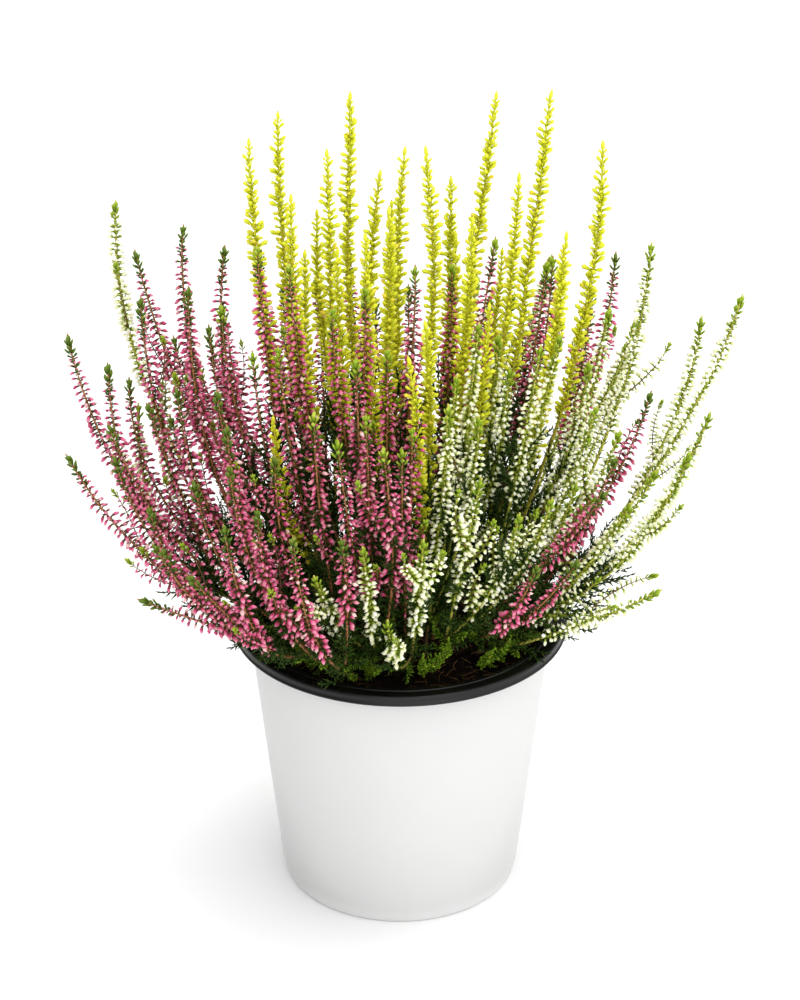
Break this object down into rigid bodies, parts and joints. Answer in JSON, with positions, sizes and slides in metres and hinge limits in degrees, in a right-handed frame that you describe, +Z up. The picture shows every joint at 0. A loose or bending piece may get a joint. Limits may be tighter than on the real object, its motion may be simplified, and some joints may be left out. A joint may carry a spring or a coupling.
{
  "type": "potted heather",
  "caption": "Potted heather in three colours: upright spikes of yellow foliage, pink and white buds rise from soil in a black nursery pot hung in a white tapered cover pot.",
  "frame": {"origin": "centre of the cover pot's flat underside, where it rests on the surface", "axes": "+Z up along the pot axis; -Y towards the side from which the pink spikes show on the left and the white ones on the right; +X to the right from there"},
  "size_m": [0.2712, 0.2164, 0.336],
  "materials": {
    "cover_plastic": "white, smooth satin gloss",
    "nursery_plastic": "black, semi-matt with a soft shine on the lip",
    "soil": "dark, crumbly, fibrous",
    "yellow_foliage": "lime yellow, matt",
    "pink_florets": "magenta pink, matt",
    "white_florets": "creamy white with green, matt",
    "green_foliage": "dark green, matt"
  },
  "bodies": {
    "root": {"cover_pot": "cover_plastic", "nursery_pot": "nursery_plastic", "soil": "soil", "green_spray_01": "green_foliage", "green_spray_02": "green_foliage", "green_spray_03": "green_foliage", "green_spray_04": "green_foliage", "pink_spray_01": "pink_florets", "pink_spray_02": "pink_florets", "pink_spray_03": "pink_florets", "pink_spray_04": "pink_florets", "pink_spray_05": "pink_florets", "pink_spray_06": "pink_florets", "pink_spray_07": "pink_florets", "pink_spray_08": "pink_florets", "pink_spray_09": "pink_florets", "pink_spray_10": "pink_florets", "pink_spray_11": "pink_florets", "pink_spray_12": "pink_florets", "pink_spray_13": "pink_florets", "pink_spray_14": "pink_florets", "pink_spray_15": "pink_florets", "pink_spray_16": "pink_florets", "pink_spray_17": "pink_florets", "pink_spray_18": "pink_florets", "pink_spray_19": "pink_florets", "pink_spray_20": "pink_florets", "pink_spray_21": "pink_florets", "pink_spray_22": "pink_florets", "pink_spray_23": "pink_florets", "pink_spray_24": "pink_florets", "pink_spray_25": "pink_florets", "pink_spray_26": "pink_florets", "white_spray_01": "white_florets", "white_spray_02": "white_florets", "white_spray_03": "white_florets", "white_spray_04": "white_florets", "white_spray_05": "white_florets", "white_spray_06": "white_florets", "white_spray_07": "white_florets", "white_spray_08": "white_florets", "white_spray_09": "white_florets", "white_spray_10": "white_florets", "white_spray_11": "white_florets", "white_spray_12": "white_florets", "white_spray_13": "white_florets", "white_spray_14": "white_florets", "white_spray_15": "white_florets", "yellow_spray_01": "yellow_foliage", "yellow_spray_02": "yellow_foliage", "yellow_spray_03": "yellow_foliage", "yellow_spray_04": "yellow_foliage", "yellow_spray_05": "yellow_foliage", "yellow_spray_06": "yellow_foliage", "yellow_spray_07": "yellow_foliage", "yellow_spray_08": "yellow_foliage", "yellow_spray_09": "yellow_foliage", "yellow_spray_10": "yellow_foliage", "yellow_spray_11": "yellow_foliage", "yellow_spray_12": "yellow_foliage"}
  },
  "joints": []
}
